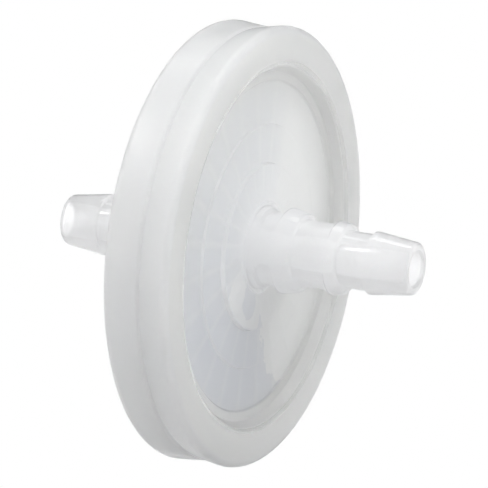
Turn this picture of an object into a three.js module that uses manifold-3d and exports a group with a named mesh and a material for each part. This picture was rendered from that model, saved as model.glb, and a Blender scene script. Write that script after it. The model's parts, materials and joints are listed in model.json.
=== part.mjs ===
// In-line disc filter for 60 mm rim, stepped hose barb on both sides.
// Millimetres, +Z up. The disc axis lies along X: the front barb points to +X,
// the rear barb to -X, and the origin is the middle of the filter on that axis.
//
// Five separate pieces:
//   front_housing   moulded half: stepped barb, ringed plate, rim flange, inner ribs
//   rear_housing    moulded half: the same, with the thicker rim flange
//   front_support   drainage net disc on the front side of the membrane
//   membrane        filter membrane disc, clamped at its edge
//   rear_support    drainage net disc on the rear side of the membrane

import * as THREE from 'three';
import { mergeVertices } from 'three/addons/utils/BufferGeometryUtils.js';
import Module from 'manifold-3d';

const wasm = await Module();
wasm.setup();

// ---------------------------------------------------------------- dimensions
const RIM_R = 30.0;            // outer radius of both rim flanges
const FACE_X = 4.60;           // front and rear annular faces of the rim, from the middle
const FACE_OUT_R = 29.00;      // flat annular face, outer edge
const MOUTH_R = 24.95;         // flat annular face, inner edge (mouth of the recess)
const WALL_R = 24.32;          // steep wall of the recess, at its outer end
const WALL_X = 4.10;
const LEDGE_R = 23.62;         // foot of the steep wall, where the sloping ledge begins
const LEDGE_X = 3.00;
const FLOOR_R = 22.50;         // recess floor, outer edge
const FLOOR_X = 2.69;          // recess floor, outermost level
const RING_R = 16.58;          // first raised ring on the recess floor
const RING_X = 2.98;
const DAIS_R = 11.35;          // second raised ring, around the hub
const DAIS_X = 3.58;

const PART_X = 0.45;           // parting plane of the two halves, at the foot of the weld groove
const PART_GAP = 0.10;         // clearance left between the two flange faces
const GROOVE_R = 29.15;        // foot of the weld groove
const GROOVE_REAR_X = 0.10;    // rear lip of the weld groove
const GROOVE_FRONT_X = 0.95;   // front side of the weld groove, where the taper of the front flange begins
const LIP_REAR_R = 29.48;
const LIP_FRONT_R = 29.34;

const BORE_R = 2.25;           // straight bore through both barbs
const TIP_X = 25.98;           // flat ring at the end of each barb

const STACK_X = 0.40;          // middle of the membrane
const MEMBRANE_T = 0.20;
const SUPPORT_T = 0.40;
const STACK_GAP = 0.05;        // clearance between layers
const STACK_R = 24.0;          // membrane and supports, outer radius
const POCKET_R = 24.3;         // pocket in the housings that takes the layers
const CLAMP_R = 23.1;          // inner edge of the flat clamping land
const RIB_FACE_X = STACK_X + MEMBRANE_T / 2 + STACK_GAP + SUPPORT_T + STACK_GAP;  // front rib tops
const RIB_REAR_X = STACK_X - MEMBRANE_T / 2 - STACK_GAP - SUPPORT_T - STACK_GAP;  // rear rib tops
const PLATE_IN_X = 1.50;       // inner face of the front plate, between the ribs
const PLATE_REAR_IN_X = -1.05; // inner face of the rear plate, between the ribs

const RIB_COUNT = 24;          // radial flow ribs on each inner face
const RIB_W = 0.8;
const RIB_PHASE = -1;          // degrees from +Y toward +Z to the first rib
const RIB_R0 = 7.0;            // ribs run from here
const RIB_R1 = 23.3;           // to inside the clamping land
const SEG = 48;                // sides round the axis

// ------------------------------------------------------------------- helpers
// Turns a profile of [x, r] points about the X axis. The profile closes on itself.
function turned(points) {
  const pts = points.map(([x, r]) => new THREE.Vector2(r, x));
  pts.push(pts[0].clone());
  const g = new THREE.LatheGeometry(pts, SEG);
  // lathe axis Y becomes X, Z becomes Y, X becomes Z
  g.applyMatrix4(new THREE.Matrix4().set(0, 1, 0, 0, 0, 0, 1, 0, 1, 0, 0, 0, 0, 0, 0, 1));
  return welded(g);
}

function signedVolume(g) {
  const p = g.attributes.position, ix = g.index;
  const a = new THREE.Vector3(), b = new THREE.Vector3(), c = new THREE.Vector3();
  let v = 0;
  for (let i = 0; i < ix.count; i += 3) {
    a.fromBufferAttribute(p, ix.getX(i));
    b.fromBufferAttribute(p, ix.getX(i + 1));
    c.fromBufferAttribute(p, ix.getX(i + 2));
    v += a.dot(b.cross(c)) / 6;
  }
  return v;
}

// Shared vertices merged, sliver faces dropped, faces pointing out.
function welded(geometry) {
  let g = geometry.clone();
  g.deleteAttribute('normal');
  g.deleteAttribute('uv');
  g = mergeVertices(g, 1e-4);
  const ix = g.index.array, keep = [];
  for (let i = 0; i < ix.length; i += 3) {
    const [a, b, c] = [ix[i], ix[i + 1], ix[i + 2]];
    if (a !== b && b !== c && c !== a) keep.push(a, b, c);
  }
  g.setIndex(keep);
  if (signedVolume(g) < 0) {
    const f = g.index.array;
    for (let i = 0; i < f.length; i += 3) [f[i + 1], f[i + 2]] = [f[i + 2], f[i + 1]];
  }
  return g;
}

function toSolid(g) {
  return new wasm.Manifold(new wasm.Mesh({
    numProp: 3,
    vertProperties: new Float32Array(g.attributes.position.array),
    triVerts: new Uint32Array(g.index.array),
  }));
}

function fromSolid(solid) {
  const m = solid.getMesh();
  const g = new THREE.BufferGeometry();
  g.setAttribute('position', new THREE.BufferAttribute(new Float32Array(m.vertProperties), 3));
  g.setIndex(new THREE.BufferAttribute(new Uint32Array(m.triVerts), 1));
  return g;
}

function node(name, geometry, material) {
  geometry.computeVertexNormals();
  const mesh = new THREE.Mesh(geometry, material);
  mesh.name = name;
  return mesh;
}

// ------------------------------------------------------------------ profiles
// Outer side of one half from the barb tip to the rim face, as [distance from the
// middle, radius]. Both halves share it.
const BARB = [
  [25.65, BORE_R],                                  // mouth of the bore
  [25.88, 2.43], [TIP_X, 2.60], [TIP_X, 2.90],      // flat end ring with a rounded lip
  [25.85, 3.20], [25.55, 3.42], [25.05, 3.52],
  [20.60, 4.19], [20.02, 4.24], [19.92, 4.16],      // tip cone and its ledge
  [19.92, 3.80], [16.35, 3.85],                     // neck for the smallest hose
  [16.12, 4.10], [16.05, 4.62], [15.85, 4.78],      // middle step
  [14.75, 5.03], [14.58, 4.95],
  [14.55, 4.45], [10.05, 4.50],                     // neck for the middle hose
  [9.85, 4.70], [9.78, 5.18], [9.55, 5.36],         // largest step
  [7.45, 5.82], [7.28, 5.74],
  [7.20, 5.15], [6.85, 4.90],                       // root of the barb
  [4.75, 4.95], [4.45, 5.40],                       // collar on the plate
  [DAIS_X + 0.25, 5.50], [DAIS_X, 5.75],
  [DAIS_X, DAIS_R - 0.12], [DAIS_X - 0.12, DAIS_R], // ring steps of the plate
  [RING_X, DAIS_R + 0.10],
  [RING_X, RING_R - 0.12], [RING_X - 0.12, RING_R],
  [FLOOR_X, RING_R + 0.10],
  [FLOOR_X, FLOOR_R - 0.05], [LEDGE_X - 0.12, LEDGE_R - 0.35], [LEDGE_X + 0.10, LEDGE_R + 0.04],  // sloping ledge
  [WALL_X, WALL_R], [FACE_X - 0.16, WALL_R + 0.28], [FACE_X, MOUTH_R],  // steep wall and rounded mouth
];

const FRONT_PROFILE = [
  ...BARB,
  [FACE_X, FACE_OUT_R], [FACE_X - 0.10, RIM_R - 0.42],                          // rounded rim edge
  [FACE_X - 0.34, RIM_R - 0.10], [FACE_X - 0.70, RIM_R],
  [GROOVE_FRONT_X, LIP_FRONT_R], [GROOVE_FRONT_X - 0.12, LIP_FRONT_R - 0.18],   // weld groove
  [PART_X + PART_GAP / 2, GROOVE_R],
  [PART_X + PART_GAP / 2, POCKET_R],                                            // flange face
  [RIB_FACE_X, POCKET_R], [RIB_FACE_X, CLAMP_R],                                // clamping land
  [PLATE_IN_X, CLAMP_R - 0.1], [PLATE_IN_X, 5.2],                               // inner face
  [2.60, 3.1], [4.2, BORE_R],                                                   // mouth of the bore
];

const REAR_PROFILE = [
  ...BARB.map(([x, r]) => [-x, r]),
  [-FACE_X, FACE_OUT_R], [-FACE_X + 0.10, RIM_R - 0.42],
  [-FACE_X + 0.34, RIM_R - 0.10], [-FACE_X + 0.70, RIM_R],
  [GROOVE_REAR_X - 0.15, LIP_REAR_R + 0.03], [GROOVE_REAR_X, LIP_REAR_R - 0.10],
  [PART_X - PART_GAP / 2, GROOVE_R],
  [PART_X - PART_GAP / 2, POCKET_R],
  [RIB_REAR_X, POCKET_R], [RIB_REAR_X, CLAMP_R],
  [PLATE_REAR_IN_X, CLAMP_R - 0.1], [PLATE_REAR_IN_X, 5.2],
  [-2.60, 3.1], [-4.2, BORE_R],
];

// ------------------------------------------------------------- housing halves
// Radial ribs, sunk into the plate behind them so that they join it.
function withRibs(profile, ribTop, plateFace, side) {
  let solid = toSolid(turned(profile));
  const sink = 0.4;
  const depth = Math.abs(plateFace - ribTop) + sink;
  const mid = ribTop + side * depth / 2;
  for (let i = 0; i < RIB_COUNT; i++) {
    const box = new THREE.BoxGeometry(depth, RIB_R1 - RIB_R0, RIB_W);
    box.translate(mid, (RIB_R0 + RIB_R1) / 2, 0);
    box.rotateX((i / RIB_COUNT) * 2 * Math.PI + THREE.MathUtils.degToRad(RIB_PHASE));
    solid = solid.add(toSolid(welded(box)));
  }
  return fromSolid(solid);
}

const frontHousing = withRibs(FRONT_PROFILE, RIB_FACE_X, PLATE_IN_X, 1);
const rearHousing = withRibs(REAR_PROFILE, RIB_REAR_X, PLATE_REAR_IN_X, -1);

// --------------------------------------------------------------- inner layers
function layer(x0, x1, r) {
  return turned([[x0, 0], [x1, 0], [x1, r - 0.05], [(x0 + x1) / 2, r], [x0, r - 0.05]]);
}
const M0 = STACK_X - MEMBRANE_T / 2, M1 = STACK_X + MEMBRANE_T / 2;
const membrane = layer(M0, M1, STACK_R);
const frontSupport = layer(M1 + STACK_GAP, M1 + STACK_GAP + SUPPORT_T, STACK_R);
const rearSupport = layer(M0 - STACK_GAP - SUPPORT_T, M0 - STACK_GAP, STACK_R);

// ----------------------------------------------------------------- materials
const polypropylene = () => new THREE.MeshStandardMaterial({ color: 0xe3e6ea, roughness: 0.34, metalness: 0 });
const supportMaterial = () => new THREE.MeshStandardMaterial({ color: 0xf2f3f2, roughness: 0.7, metalness: 0 });
const membraneMaterial = () => new THREE.MeshStandardMaterial({ color: 0xf8f8f6, roughness: 0.85, metalness: 0 });

// -------------------------------------------------------------------- object
const filter = new THREE.Group();
filter.add(
  node('front_housing', frontHousing, polypropylene()),
  node('rear_housing', rearHousing, polypropylene()),
  node('front_support', frontSupport, supportMaterial()),
  node('membrane', membrane, membraneMaterial()),
  node('rear_support', rearSupport, supportMaterial()),
);

export default filter;
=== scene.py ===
"""In-line disc filter: looks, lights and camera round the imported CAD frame. Metres, +Z up,
disc axis along X with the front barb to +X."""

import json
import math

import bmesh
import bpy
import numpy as np
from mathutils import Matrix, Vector

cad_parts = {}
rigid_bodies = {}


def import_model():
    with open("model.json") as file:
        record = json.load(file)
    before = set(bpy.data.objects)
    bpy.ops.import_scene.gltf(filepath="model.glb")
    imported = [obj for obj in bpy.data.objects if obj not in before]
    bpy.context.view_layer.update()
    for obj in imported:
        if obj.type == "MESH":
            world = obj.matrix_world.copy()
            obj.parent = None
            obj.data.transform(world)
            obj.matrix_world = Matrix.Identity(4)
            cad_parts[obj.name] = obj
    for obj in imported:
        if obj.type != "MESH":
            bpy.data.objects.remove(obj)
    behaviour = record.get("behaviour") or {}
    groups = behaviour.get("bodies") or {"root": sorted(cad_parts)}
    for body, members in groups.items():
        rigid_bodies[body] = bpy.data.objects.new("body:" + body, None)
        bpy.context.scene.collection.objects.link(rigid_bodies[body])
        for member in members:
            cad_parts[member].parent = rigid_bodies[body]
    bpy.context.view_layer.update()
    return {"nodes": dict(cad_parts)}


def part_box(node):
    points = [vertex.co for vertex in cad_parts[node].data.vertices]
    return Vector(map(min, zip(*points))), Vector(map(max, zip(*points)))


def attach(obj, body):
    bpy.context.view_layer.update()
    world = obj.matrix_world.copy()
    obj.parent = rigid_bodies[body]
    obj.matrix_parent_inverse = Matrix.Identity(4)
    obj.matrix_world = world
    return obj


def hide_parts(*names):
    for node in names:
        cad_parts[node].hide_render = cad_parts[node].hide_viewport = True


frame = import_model()
MM = 0.001

# ------------------------------------------------------------------ dimensions from the frame
f_lo, f_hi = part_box("front_housing")
r_lo, r_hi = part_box("rear_housing")
RIM_R = f_hi.z / MM                 # outer radius of the rim
TIP_X = f_hi.x / MM                 # end of each barb
FACE_X = 4.60                       # flat ring of the rim
PART_X = f_lo.x / MM - 0.05         # parting plane of the halves
m_lo, m_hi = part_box("membrane")
MEM_R = m_hi.z / MM


# ------------------------------------------------------------------ profile tools
def arc_corner(p0, p1, p2, rad, n=5):
    """Points that round the corner p1 of a polyline with about that radius."""
    a, b, c = np.array(p0, float), np.array(p1, float), np.array(p2, float)
    u, v = a - b, c - b
    lu, lv = np.linalg.norm(u), np.linalg.norm(v)
    if lu < 1e-9 or lv < 1e-9:
        return [tuple(b)]
    u, v = u / lu, v / lv
    cosang = float(np.clip(u @ v, -1, 1))
    ang = math.acos(cosang)
    if ang > math.pi - 0.02 or rad <= 0:
        return [tuple(b)]
    t = min(rad / math.tan(ang / 2), 0.48 * lu, 0.48 * lv)
    r = t * math.tan(ang / 2)
    bis = u + v
    bis /= np.linalg.norm(bis)
    cen = b + bis * (r / math.sin(ang / 2))
    s, e = b + u * t, b + v * t
    a0 = math.atan2(*(s - cen)[::-1])
    a1 = math.atan2(*(e - cen)[::-1])
    d = (a1 - a0 + math.pi) % (2 * math.pi) - math.pi
    return [tuple(cen + r * np.array([math.cos(a0 + d * i / n), math.sin(a0 + d * i / n)])) for i in range(n + 1)]


def rounded(points, closed=True):
    """[x, r, corner radius] points to a rounded closed profile of (x, r)."""
    out = []
    n = len(points)
    for i, p in enumerate(points):
        rad = p[2] if len(p) > 2 else 0.0
        if rad <= 0:
            out.append((p[0], p[1]))
        else:
            steps = 3 if rad < 0.12 else (5 if rad < 0.4 else 7)
            out += arc_corner(points[i - 1][:2], p[:2], points[(i + 1) % n][:2], rad, steps)
    # drop doubles
    clean = [out[0]]
    for q in out[1:]:
        if abs(q[0] - clean[-1][0]) + abs(q[1] - clean[-1][1]) > 1e-4:
            clean.append(q)
    return clean


def split_long(profile, longest):
    """Adds points along the long straight runs, so that later moves of the surface have something to move."""
    out = []
    n = len(profile)
    for i in range(n):
        a, b = np.array(profile[i]), np.array(profile[(i + 1) % n])
        k = max(1, int(math.ceil(np.linalg.norm(b - a) / longest(a, b))))
        for j in range(k):
            out.append(tuple(a + (b - a) * j / k))
    return out


def lathe(name, profile, seg, shift=None):
    """A closed profile of (x, r) in mm turned about X. shift(x, r, phi) may move each point."""
    p = np.array(profile, float)
    phi = np.linspace(0, 2 * np.pi, seg, endpoint=False)
    X = np.repeat(p[:, 0][None], seg, 0)
    R = np.repeat(p[:, 1][None], seg, 0)
    PH = np.repeat(phi[:, None], len(p), 1)
    if shift is not None:
        X, R = shift(X, R, PH)
    co = np.stack([X, R * np.cos(PH), R * np.sin(PH)], 2).reshape(-1, 3) * MM
    n = len(p)
    faces = []
    i = np.arange(seg)[:, None]
    j = np.arange(n)[None]
    a = (i * n + j)
    b = (i * n + (j + 1) % n)
    c = (((i + 1) % seg) * n + (j + 1) % n)
    d = (((i + 1) % seg) * n + j)
    quads = np.stack([a, b, c, d], 2).reshape(-1, 4)
    me = bpy.data.meshes.new(name)
    me.from_pydata(co.tolist(), [], quads.tolist())
    me.update()
    ob = bpy.data.objects.new(name, me)
    bpy.context.scene.collection.objects.link(ob)
    bm = bmesh.new()
    bm.from_mesh(me)
    bmesh.ops.recalc_face_normals(bm, faces=bm.faces)
    bm.to_mesh(me)
    bm.free()
    for poly in me.polygons:
        poly.use_smooth = True
    return ob


# ------------------------------------------------------------------ the two moulded halves
# (x, r, corner radius), from the bore mouth along the outside of the barb to the rim.
BARB = [
    (25.62, 2.25, 0.18), (TIP_X, 2.56, 0.16), (TIP_X, 3.50, 0.78),      # lip
    (20.45, 4.22, 0.50), (19.92, 4.24, 0.09), (19.92, 3.80, 0.16),      # tip cone and ledge
    (16.12, 3.84, 0.16), (16.08, 4.72, 0.20),                           # neck, middle step
    (14.55, 5.04, 0.12), (14.55, 4.45, 0.16),
    (9.82, 4.50, 0.16), (9.78, 5.30, 0.26),                             # neck, largest step
    (7.30, 5.84, 0.14), (7.18, 5.05, 0.30), (6.70, 4.88, 0.20),
    (4.80, 4.92, 0.22), (4.45, 5.42, 0.16), (3.58, 5.60, 0.30),         # root and collar
    (3.58, 11.30, 0.06), (2.95, 11.42, 0.08), (2.98, 11.90, 0.10),      # ring steps, each with a shallow moat
    (2.98, 16.53, 0.06), (2.66, 16.64, 0.08), (2.69, 17.20, 0.10),
    (2.69, 22.30, 0.06), (2.95, 22.55, 0.08), (3.00, 23.75, 0.16),      # recess floor, ledge,
    (4.14, 24.38, 0.30), (FACE_X, 24.90, 0.36),                         # steep wall and lip
]


def half(side):
    """side +1 is the front half, -1 the rear half. Returns the profile and the span of its inner face."""
    rib_top = 1.00 if side > 0 else -0.20
    plate_in = 1.50 if side > 0 else -1.05
    out = [(x * side, r, c) for x, r, c in BARB]
    out += [(FACE_X * side, RIM_R + 0.02, 0.95)]
    if side > 0:
        out += [(PART_X + 0.45, 29.36, 0.8), (PART_X + 0.04, 29.27, 0.05), (PART_X + 0.03, 29.24, 0.0)]
    else:
        out += [(0.10, 29.47, 0.30), (0.28, 29.29, 0.14), (PART_X - 0.03, 29.24, 0.0)]
    out += [(PART_X + 0.03 * side, 24.3, 0.0), (rib_top, 24.3, 0.05), (rib_top, 23.1, 0.06),
            (plate_in, 23.0, 0.10), (plate_in, 5.2, 0.4), (2.60 * side, 3.1, 0.5), (4.2 * side, 2.25, 0.6)]
    return out, plate_in, rib_top


RIBS = 24
RIB_HALF = 2.9                      # degrees from the crown of a rib to its foot
SINK = 0.05                         # depth of the furrows outside, mm
SINK_ZONES = ((3.58, 7.0, 11.2), (2.98, 12.1, 16.4), (2.69, 17.4, 22.3))   # (level, from radius, to radius)


def rib_wave(phi, half):
    """1 on the line of a rib, 0 from that many degrees off it. Both sides slope gently, as moulded ribs' sides do."""
    pitch = 360.0 / RIBS
    a = (((np.degrees(phi) + 1.0) / pitch + 0.5) % 1.0 - 0.5) * pitch
    return np.cos(np.pi / 2 * np.clip(np.abs(a) / half, 0, 1)) ** 2


def rib_field(r, phi):
    ends = np.clip((r - 6.6) / 0.8, 0, 1) * np.clip((23.2 - r) / 0.2, 0, 1)
    return rib_wave(phi, RIB_HALF) * ends


def build_half(name, side):
    raw, plate_in, rib_top = half(side)
    prof = rounded(raw)

    def longest(a, b):
        level = abs(a[0] - b[0]) < 1e-6 and 7.0 < max(a[1], b[1]) < 24.0
        return 0.8 if level else 6.0

    prof = split_long(prof, longest)

    def shift(X, R, PH):
        inner = np.abs(X - plate_in) < 1e-6
        # the resin shrinks a little over each rib and leaves a shallow furrow outside
        sink = np.zeros_like(X)
        for level, r0, r1 in SINK_ZONES:
            k = np.sin(np.pi * np.clip((R - r0) / (r1 - r0), 0, 1)) ** 0.8
            sink = np.where(np.isclose(np.abs(X), level), SINK * rib_wave(PH, 2.2) * k, sink)
        return np.where(inner, X + (rib_top - plate_in) * rib_field(R, PH), X - np.sign(X) * sink), R

    return lathe(name, prof, 384, shift)


front = build_half("front_shell", 1)
rear = build_half("rear_shell", -1)
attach(front, "root")
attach(rear, "root")
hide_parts("front_housing")
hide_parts("rear_housing")


# ------------------------------------------------------------------ materials
def mat(name):
    m = bpy.data.materials.new(name)
    m.use_nodes = True
    nt = m.node_tree
    bsdf = nt.nodes["Principled BSDF"]
    return m, nt, bsdf


def node(nt, kind, **kw):
    n = nt.nodes.new(kind)
    for k, v in kw.items():
        if k in n.inputs:
            n.inputs[k].default_value = v
        else:
            setattr(n, k, v)
    return n


def by_radius(nt, coord, stops):
    """A number that follows the distance from the disc axis, from (radius in mm, value) stops."""
    L = nt.links.new
    sep = node(nt, "ShaderNodeSeparateXYZ")
    L(coord, sep.inputs["Vector"])
    join = node(nt, "ShaderNodeCombineXYZ")
    L(sep.outputs["Y"], join.inputs["Y"])
    L(sep.outputs["Z"], join.inputs["Z"])
    length = node(nt, "ShaderNodeVectorMath")
    length.operation = "LENGTH"
    L(join.outputs["Vector"], length.inputs[0])
    scale = node(nt, "ShaderNodeMath")
    scale.operation = "DIVIDE"
    scale.inputs[1].default_value = 32.0 * MM
    L(length.outputs["Value"], scale.inputs[0])
    ramp = node(nt, "ShaderNodeValToRGB")
    els = ramp.color_ramp.elements
    while len(els) > 1:
        els.remove(els[-1])
    for i, (rad, val) in enumerate(stops):
        e = els[0] if i == 0 else els.new(rad / 32.0)
        e.position = rad / 32.0
        e.color = (val, val, val, 1)
    L(scale.outputs["Value"], ramp.inputs["Fac"])
    return ramp.outputs["Color"]


def maths(nt, op, a, b=None):
    n = node(nt, "ShaderNodeMath")
    n.operation = op
    for i, val in enumerate((a, b)):
        if val is None:
            continue
        if isinstance(val, (int, float)):
            n.inputs[i].default_value = val
        else:
            nt.links.new(val, n.inputs[i])
    return n.outputs["Value"]


def rib_streaks(nt, coord, cloud):
    """0 over the ribs and outside the plate, up to 1 between the ribs."""
    sep = node(nt, "ShaderNodeSeparateXYZ")
    nt.links.new(coord, sep.inputs["Vector"])
    turn = maths(nt, "ARCTAN2", sep.outputs["Z"], sep.outputs["Y"])
    step = maths(nt, "MULTIPLY", maths(nt, "ADD", turn, math.radians(1.0) + 4 * math.pi), RIBS / (2 * math.pi))
    near = maths(nt, "ABSOLUTE", maths(nt, "SUBTRACT", maths(nt, "FRACT", maths(nt, "ADD", step, 0.5)), 0.5))
    soft = node(nt, "ShaderNodeMapRange")
    soft.interpolation_type = "SMOOTHSTEP"
    soft.inputs["From Min"].default_value = 0.03
    soft.inputs["From Max"].default_value = 0.20
    nt.links.new(near, soft.inputs["Value"])
    reach = by_radius(nt, coord, ((6.6, 0.0), (9.0, 0.8), (14.0, 1.0), (20.0, 0.9), (22.3, 0.7), (22.7, 0.0)))
    return maths(nt, "MULTIPLY", maths(nt, "MULTIPLY", soft.outputs["Result"], reach), maths(nt, "ADD", cloud, 0.45))


def ramp_of(nt, value, lo, hi, stops):
    """A number read off a curve of (position, value) stops, both in the same units from lo to hi."""
    fac = maths(nt, "DIVIDE", maths(nt, "SUBTRACT", value, lo), hi - lo)
    ramp = node(nt, "ShaderNodeValToRGB")
    els = ramp.color_ramp.elements
    while len(els) > 1:
        els.remove(els[-1])
    vals = [v for _, v in stops]
    v0, v1 = min(vals), max(vals)
    for i, (pos, val) in enumerate(stops):
        e = els[0] if i == 0 else els.new((pos - lo) / (hi - lo))
        e.position = (pos - lo) / (hi - lo)
        k = (val - v0) / (v1 - v0)
        e.color = (k, k, k, 1)
    nt.links.new(fac, ramp.inputs["Fac"])
    return maths(nt, "ADD", maths(nt, "MULTIPLY", ramp.outputs["Color"], v1 - v0), v0)


def smooth(nt, value, lo, hi):
    n = node(nt, "ShaderNodeMapRange")
    n.interpolation_type = "SMOOTHSTEP"
    n.inputs["From Min"].default_value = lo
    n.inputs["From Max"].default_value = hi
    nt.links.new(value, n.inputs["Value"])
    return n.outputs["Result"]


def oval(nt, y, z, cy, cz, ry, rz, soft):
    """1 inside an oval on the plate, 0 outside."""
    a = maths(nt, "DIVIDE", maths(nt, "SUBTRACT", y, cy), ry)
    b = maths(nt, "DIVIDE", maths(nt, "SUBTRACT", z, cz), rz)
    d = maths(nt, "ADD", maths(nt, "MULTIPLY", a, a), maths(nt, "MULTIPLY", b, b))
    return smooth(nt, maths(nt, "SUBTRACT", 1.0, d), -soft, soft)


def painted_reflection_patch(nt, coord):
    """1 over a painted reflection, a lighter side of the plate with a ragged edge; 0 elsewhere."""
    L = nt.links.new
    sep = node(nt, "ShaderNodeSeparateXYZ")
    L(coord, sep.inputs["Vector"])
    y = maths(nt, "MULTIPLY", sep.outputs["Y"], 1000.0)
    z = maths(nt, "MULTIPLY", sep.outputs["Z"], 1000.0)
    rag = node(nt, "ShaderNodeTexNoise", Scale=420.0, Detail=4.0, Roughness=0.65)
    L(coord, rag.inputs["Vector"])
    jag = maths(nt, "MULTIPLY", maths(nt, "SUBTRACT", rag.outputs["Fac"], 0.5), 5.2)
    edge = ramp_of(nt, z, -24.0, 24.0, ((-24, 11.0), (-21.4, 7.5), (-20.2, 4.8), (-18.4, 2.8), (-15.5, 1.2), (-13.0, 0.2),
                                        (-11.3, -0.2), (-8.4, -1.5), (-5.0, -2.2), (0, 1.0), (8, 4.5), (17, 8.0), (24, 11.0)))
    width = ramp_of(nt, z, -24.0, 24.0, ((-24, 0.10), (-4, 0.10), (3, 3.0), (24, 3.6)))
    off = maths(nt, "DIVIDE", maths(nt, "ADD", maths(nt, "SUBTRACT", y, edge), jag), width)
    main = smooth(nt, off, -1.0, 1.0)
    wob = maths(nt, "ADD", y, maths(nt, "MULTIPLY", jag, 0.5))
    lobe = maths(nt, "MULTIPLY", oval(nt, wob, z, -4.4, -6.2, 6.2, 5.2, 0.05), by_radius(nt, coord, ((11.0, 1.0), (11.3, 0.0))))
    hole = oval(nt, wob, z, -4.1, -6.5, 1.8, 2.5, 0.07)
    for cy, cz, ry, rz in ((1.2, -15.0, 0.42, 1.7), (-1.2, -10.0, 0.38, 0.9)):            # small slits in it
        hole = maths(nt, "MAXIMUM", hole, oval(nt, wob, z, cy, cz, ry, rz, 0.2))
    both = maths(nt, "MULTIPLY", maths(nt, "MAXIMUM", main, lobe), maths(nt, "SUBTRACT", 1.0, hole))
    return both, hole, z


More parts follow.
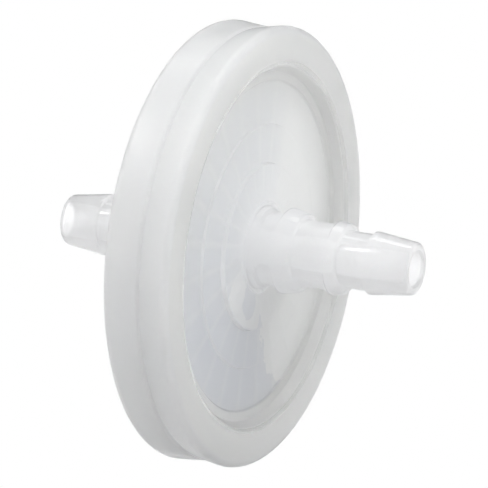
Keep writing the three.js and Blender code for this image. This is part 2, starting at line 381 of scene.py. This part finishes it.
def polypropylene(name, seed, patch):
    m, nt, b = mat(name)
    L = nt.links.new
    co = node(nt, "ShaderNodeTexCoord")
    mp = node(nt, "ShaderNodeMapping")
    mp.inputs["Location"].default_value = (seed, seed * 0.7, seed * 1.3)
    L(co.outputs["Object"], mp.inputs["Vector"])
    # slow clouding of the resin
    slow = node(nt, "ShaderNodeTexNoise", Scale=75.0, Detail=4.0, Roughness=0.6)
    L(mp.outputs["Vector"], slow.inputs["Vector"])
    ramp = node(nt, "ShaderNodeValToRGB")
    ramp.color_ramp.elements[0].position = 0.3
    ramp.color_ramp.elements[0].color = (0.940, 0.947, 0.952, 1)
    ramp.color_ramp.elements[1].position = 0.7
    ramp.color_ramp.elements[1].color = (0.996, 0.997, 0.998, 1)
    L(slow.outputs["Fac"], ramp.inputs["Fac"])
    # painted light streaks: the plate is painted darker between the ribs, so the ribs behind it show as lighter lines
    rib_streak_mask = rib_streaks(nt, co.outputs["Object"], slow.outputs["Fac"])
    tint = node(nt, "ShaderNodeMix")
    tint.data_type = "RGBA"
    L(rib_streak_mask, tint.inputs[0])
    pale = node(nt, "ShaderNodeMix")
    pale.data_type = "RGBA"
    L(by_radius(nt, co.outputs["Object"], ((5.6, 0.85), (7.0, 0.0))), pale.inputs[0])
    L(ramp.outputs["Color"], pale.inputs[6])
    pale.inputs[7].default_value = (1.0, 1.0, 1.0, 1)
    L(pale.outputs[2], tint.inputs[6])
    tint.inputs[7].default_value = RIB_STREAK_SHADE
    # a faint lilac cast on the barb and the outside of the rim, a faint straw cast where the resin is thickest
    cast = node(nt, "ShaderNodeMix")
    cast.data_type = "RGBA"
    cast.blend_type = "MULTIPLY"
    cast.inputs[0].default_value = 1.0
    hue = node(nt, "ShaderNodeMix")
    hue.data_type = "RGBA"
    L(by_radius(nt, co.outputs["Object"], ((6.0, 1.0), (9.0, 0.55), (20.0, 0.40), (22.0, 0.0), (28.6, 0.0), (29.1, 1.0))), hue.inputs[0])
    hue.inputs[6].default_value = WARM_CAST
    hue.inputs[7].default_value = COOL_CAST
    L(tint.outputs[2], cast.inputs[6])
    L(hue.outputs[2], cast.inputs[7])
    # painted shade: the wall of the recess is painted greyer, standing in for the shade of a wall with no white net
    # behind it
    wall = node(nt, "ShaderNodeMix")
    wall.data_type = "RGBA"
    L(by_radius(nt, co.outputs["Object"], ((22.20, 0.0), (22.35, 0.6), (23.50, 0.6), (23.80, 1.0), (24.45, 1.0), (24.60, 0.0))), wall.inputs[0])
    L(cast.outputs[2], wall.inputs[6])
    wall.inputs[7].default_value = PAINTED_WALL_SHADE
    skin = wall.outputs[2]
    if patch:
        # painted shade: away from the painted reflection the plate is painted cooler and a little darker, most of all
        # low down
        near, hole, z = painted_reflection_patch(nt, co.outputs["Object"])
        # painted highlight: the faces of the two ring steps are kept out of the painted shade and mostly out of the
        # painted streaks, so they show as light lines
        step = by_radius(nt, co.outputs["Object"], ((11.20, 0.0), (11.26, 1.0), (11.46, 1.0), (11.52, 0.0), (16.42, 0.0), (16.48, 1.0),
                                                   (16.66, 1.0), (16.72, 0.0)))
        on = by_radius(nt, co.outputs["Object"], ((6.0, 0.0), (6.8, 1.0), (22.4, 1.0), (22.6, 0.0)))
        # painted reflection: the plate is painted near white over the patch
        reflection_lift = node(nt, "ShaderNodeMix")
        reflection_lift.data_type = "RGBA"
        L(maths(nt, "MULTIPLY", near, on), reflection_lift.inputs[0])
        L(skin, reflection_lift.inputs[6])
        reflection_lift.inputs[7].default_value = (0.996, 1.0, 0.996, 1)
        skin = reflection_lift.outputs[2]
        near = maths(nt, "MAXIMUM", near, step)
        # painted shade, darker towards the bottom of the plate
        low = ramp_of(nt, z, -24.0, 24.0, ((-24, 1.0), (-14, 1.0), (-8, 0.92), (-5, 0.75), (0, 0.42), (8, 0.20), (16, 0.10), (24, 0.0)))
        low = maths(nt, "MAXIMUM", low, hole)
        L(maths(nt, "MULTIPLY", rib_streak_mask, maths(nt, "SUBTRACT", 1.0, maths(nt, "MULTIPLY", near, 0.70))), tint.inputs[0])
        plate_shade = node(nt, "ShaderNodeMix")
        plate_shade.data_type = "RGBA"
        L(maths(nt, "MULTIPLY", maths(nt, "MULTIPLY", maths(nt, "SUBTRACT", 1.0, near), on), maths(nt, "MULTIPLY", low, maths(nt, "ADD", maths(nt, "MAXIMUM", maths(nt, "MULTIPLY", rib_streak_mask, 0.55), maths(nt, "MULTIPLY", hole, 0.20)), 0.66))), plate_shade.inputs[0])
        L(skin, plate_shade.inputs[6])
        plate_shade.inputs[7].default_value = PAINTED_PLATE_SHADE
        skin = plate_shade.outputs[2]
    L(skin, b.inputs["Base Color"])
    # satin disc, glossier barb
    base = by_radius(nt, co.outputs["Object"], ((5.5, 0.16), (6.6, 0.30), (24.55, 0.30), (24.65, 0.18), (25.10, 0.18), (25.20, 0.30),
                                                (27.0, 0.36)))
    rr = node(nt, "ShaderNodeMapRange")
    rr.inputs["From Min"].default_value = 0.3
    rr.inputs["From Max"].default_value = 0.7
    rr.inputs["To Min"].default_value = -0.015
    rr.inputs["To Max"].default_value = 0.03
    L(slow.outputs["Fac"], rr.inputs["Value"])
    add = node(nt, "ShaderNodeMath")
    add.operation = "ADD"
    L(base, add.inputs[0])
    L(rr.outputs["Result"], add.inputs[1])
    L(add.outputs["Value"], b.inputs["Roughness"])
    b.inputs["IOR"].default_value = 1.49
    # thin walls let more through than the thick rim
    clear = by_radius(nt, co.outputs["Object"], ((5.5, CLEAR_BARB), (8.0, CLEAR_PLATE), (22.2, CLEAR_PLATE), (23.4, CLEAR_RIM)))
    L(clear, b.inputs["Transmission Weight"])
    # the milkiness: light scatters inside the resin
    vs = node(nt, "ShaderNodeVolumeScatter", Density=800.0, Anisotropy=0.3)
    vs.inputs["Color"].default_value = (0.9994, 0.9996, 0.9998, 1)
    L(vs.outputs["Volume"], nt.nodes["Material Output"].inputs["Volume"])
    return m


WARM_CAST = (1.000, 1.000, 0.985, 1)
COOL_CAST = (0.992, 0.994, 1.000, 1)
# painted shade on the recess wall
PAINTED_WALL_SHADE = (0.885, 0.885, 0.875, 1)
CLEAR_BARB, CLEAR_PLATE, CLEAR_RIM = 0.99, 1.0, 0.85
# painted shade between the ribs, which makes the ribs show as light streaks
RIB_STREAK_SHADE = (0.912, 0.920, 0.930, 1)
# painted shade on the plate, darker towards the bottom
PAINTED_PLATE_SHADE = (0.822, 0.838, 0.868, 1)
pp_front = polypropylene("polypropylene_front", 0.0, True)
pp_rear = polypropylene("polypropylene_rear", 3.1, False)
front.data.materials.append(pp_front)
rear.data.materials.append(pp_rear)


def white_layer(name, base, rough, net):
    m, nt, b = mat(name)
    L = nt.links.new
    co = node(nt, "ShaderNodeTexCoord")
    n = node(nt, "ShaderNodeTexNoise", Scale=350.0, Detail=4.0, Roughness=0.6)
    L(co.outputs["Object"], n.inputs["Vector"])
    ramp = node(nt, "ShaderNodeValToRGB")
    ramp.color_ramp.elements[0].color = tuple(c * 0.99 for c in base) + (1,)
    ramp.color_ramp.elements[1].color = base + (1,)
    L(n.outputs["Fac"], ramp.inputs["Fac"])
    L(ramp.outputs["Color"], b.inputs["Base Color"])
    b.inputs["Roughness"].default_value = rough
    bump = node(nt, "ShaderNodeBump", Strength=0.3, Distance=0.0001)
    if net:
        v = node(nt, "ShaderNodeTexVoronoi", Scale=1100.0)
        L(co.outputs["Object"], v.inputs["Vector"])
        L(v.outputs["Distance"], bump.inputs["Height"])
    else:
        L(n.outputs["Fac"], bump.inputs["Height"])
    L(bump.outputs["Normal"], b.inputs["Normal"])
    return m


net_mat = white_layer("support_net", (0.99, 0.992, 0.994), 0.6, True)
mem_mat = white_layer("membrane_film", (0.997, 0.997, 0.995), 0.8, False)
for nm, mt in (("membrane", mem_mat), ("front_support", net_mat), ("rear_support", net_mat)):
    ob = frame["nodes"][nm]
    ob.data.materials.clear()
    ob.data.materials.append(mt)

# ------------------------------------------------------------------ floor, light and camera
sc = bpy.context.scene
sc.view_settings.view_transform = "Standard"
sc.view_settings.look = "None"

fm = bpy.data.meshes.new("floor")
S, Z = 6.0, -0.25
fm.from_pydata([(-S, -S, Z), (S, -S, Z), (S, S, Z), (-S, S, Z)], [], [(0, 1, 2, 3)])
floor = bpy.data.objects.new("floor", fm)
sc.collection.objects.link(floor)
fmat, fnt, fb = mat("floor_white")
fb.inputs["Base Color"].default_value = (0.72, 0.72, 0.72, 1)
fb.inputs["Roughness"].default_value = 0.9
fb.inputs["Specular IOR Level"].default_value = 0.1
# seen directly the floor is the same plain white from every side, whichever part of it the lamps reach
white = node(fnt, "ShaderNodeEmission", Strength=1.0)
white.inputs["Color"].default_value = (1.0, 1.0, 1.0, 1)
seen = node(fnt, "ShaderNodeLightPath")
pick = node(fnt, "ShaderNodeMixShader")
fnt.links.new(seen.outputs["Is Camera Ray"], pick.inputs[0])
fnt.links.new(fb.outputs["BSDF"], pick.inputs[1])
fnt.links.new(white.outputs["Emission"], pick.inputs[2])
fnt.links.new(pick.outputs["Shader"], fnt.nodes["Material Output"].inputs["Surface"])
fm.materials.append(fmat)

# a grey card under the object, out of sight, holds back part of the light that the floor throws up at it
cm = bpy.data.meshes.new("flag")
cm.from_pydata([(-0.02, -0.08, -0.06), (0.12, -0.08, -0.06), (0.12, 0.06, -0.06), (-0.02, 0.06, -0.06)], [], [(0, 1, 2, 3)])
flag = bpy.data.objects.new("flag", cm)
sc.collection.objects.link(flag)
gmat, gnt, gb = mat("flag_grey")
gb.inputs["Base Color"].default_value = (0.38, 0.38, 0.38, 1)
gb.inputs["Roughness"].default_value = 0.9
cm.materials.append(gmat)
flag.visible_camera = False
flag.visible_shadow = False

world = bpy.data.worlds.new("studio")
sc.world = world
world.use_nodes = True
wnt = world.node_tree
bg = wnt.nodes["Background"]


def wnode(kind, **kw):
    return node(wnt, kind, **kw)


# soft surround: broad lobes of light, (azimuth from the camera toward its right, elevation, radiance),
# over a plain pale background that only the camera sees
LOBES = [(240, 12, 0.430), (300, 12, 0.441), (0, 45, 0.288), (240, 45, 0.102), (300, 45, 0.380)]
CAM_AZ = 26.577
wtc = wnode("ShaderNodeTexCoord")
total = None
for az, el, power in LOBES:
    a, e = math.radians(CAM_AZ + az), math.radians(el)
    dot = wnode("ShaderNodeVectorMath")
    dot.operation = "DOT_PRODUCT"
    dot.inputs[1].default_value = (math.sin(a) * math.cos(e), -math.cos(a) * math.cos(e), math.sin(e))
    wnt.links.new(wtc.outputs["Generated"], dot.inputs[0])
    lobe = wnode("ShaderNodeMapRange")
    lobe.interpolation_type = "SMOOTHSTEP"
    lobe.inputs["From Min"].default_value = 0.45
    lobe.inputs["From Max"].default_value = 1.0
    lobe.inputs["To Min"].default_value = 0.0
    lobe.inputs["To Max"].default_value = power
    wnt.links.new(dot.outputs["Value"], lobe.inputs["Value"])
    if total is None:
        total = lobe.outputs["Result"]
    else:
        add = wnode("ShaderNodeMath")
        add.operation = "ADD"
        wnt.links.new(total, add.inputs[0])
        wnt.links.new(lobe.outputs["Result"], add.inputs[1])
        total = add.outputs["Value"]
path = wnode("ShaderNodeLightPath")
pick = wnode("ShaderNodeMix")
pick.data_type = "FLOAT"
wnt.links.new(path.outputs["Is Camera Ray"], pick.inputs[0])
wnt.links.new(total, pick.inputs[2])
pick.inputs[3].default_value = 1.0
bg.inputs["Color"].default_value = (1.0, 1.0, 1.0, 1)
wnt.links.new(pick.outputs[0], bg.inputs["Strength"])


def area(name, where, target, size, power, color=(1, 1, 1), size_y=None):
    d = bpy.data.lights.new(name, "AREA")
    d.energy = power
    d.color = color
    d.size = size
    if size_y:
        d.shape = "RECTANGLE"
        d.size_y = size_y
    o = bpy.data.objects.new(name, d)
    o.location = where
    o.rotation_euler = (Vector(target) - Vector(where)).to_track_quat("-Z", "Y").to_euler()
    o.visible_camera = False
    sc.collection.objects.link(o)
    return o


area("key", (-0.02, -0.14, 0.14), (0.0, -0.01, 0.01), 0.16, 0.036)
area("front", (0.18, -0.04, 0.12), (0.005, 0, 0), 0.16, 0.215)
area("front_high", (0.15, -0.12, 0.20), (0, 0, 0), 0.20, 0.061)
area("left", (-0.05, -0.25, 0.10), (0, 0, 0), 0.20, 0.115)
area("right_high", (0.20, 0.16, 0.10), (0, 0, 0), 0.20, 0.035)
area("top_front", (0.12, 0.02, 0.18), (0, 0, 0), 0.20, 0.120)
# two narrow lamps from the side reach the barbs alone
for nm, x, power in (("barb_front", 0.0155, 0.0011), ("barb_rear", -0.015, 0.0008)):
    area(nm, (x, -0.20, 0.0), (x, 0, 0), 0.012, power).data.spread = math.radians(5)
for ob in sc.objects:                   # the fill lamps leave no hot spots in the gloss
    if ob.type == "LIGHT":
        ob.visible_glossy = False
# one small lamp draws the bars of light along the barbs, and is seen only in the gloss
glint = area("glint", (-0.165, -0.187, 0.361), (0.012, 0, 0), 0.09, 0.42, size_y=0.04)
glint.visible_diffuse = glint.visible_transmission = glint.visible_volume_scatter = False
sweep = area("sweep", (-0.42, 0.90, 0.75), (-0.42, 0.9001, -0.25), 1.3, 11.70)
sweep.data.spread = math.radians(80)
sweep_right = area("sweep_right", (0.60, 0.95, 0.75), (0.60, 0.9501, -0.25), 1.1, 1.49)
sweep_right.data.spread = math.radians(80)

AZ, EL = math.radians(26.577), math.radians(16.783)
DIST, SCALE, TX, TY = 0.4025, 7.422, 0.627 * MM, -0.034 * MM
v = Vector((math.sin(AZ) * math.cos(EL), -math.cos(AZ) * math.cos(EL), math.sin(EL)))
r = Vector((math.cos(AZ), math.sin(AZ), 0))
u = v.cross(r)
cam = bpy.data.cameras.new("camera")
cam.sensor_width = 36.0
cam.lens = SCALE * (DIST / MM) / 488 * 36.0
cam.clip_start = 0.01
cam.clip_end = 50
co = bpy.data.objects.new("camera", cam)
sc.collection.objects.link(co)
from mathutils import Matrix
M = Matrix((r, u, v)).transposed().to_4x4()
M.translation = v * DIST + r * TX + u * TY
co.matrix_world = M
sc.camera = co

# light crosses the milky resin many times before it leaves
sc.cycles.max_bounces = 96
sc.cycles.diffuse_bounces = 32
sc.cycles.glossy_bounces = 64
sc.cycles.transmission_bounces = 64
sc.cycles.volume_bounces = 64
sc.cycles.blur_glossy = 0.0            # the glossy filter would lose light at each milky wall
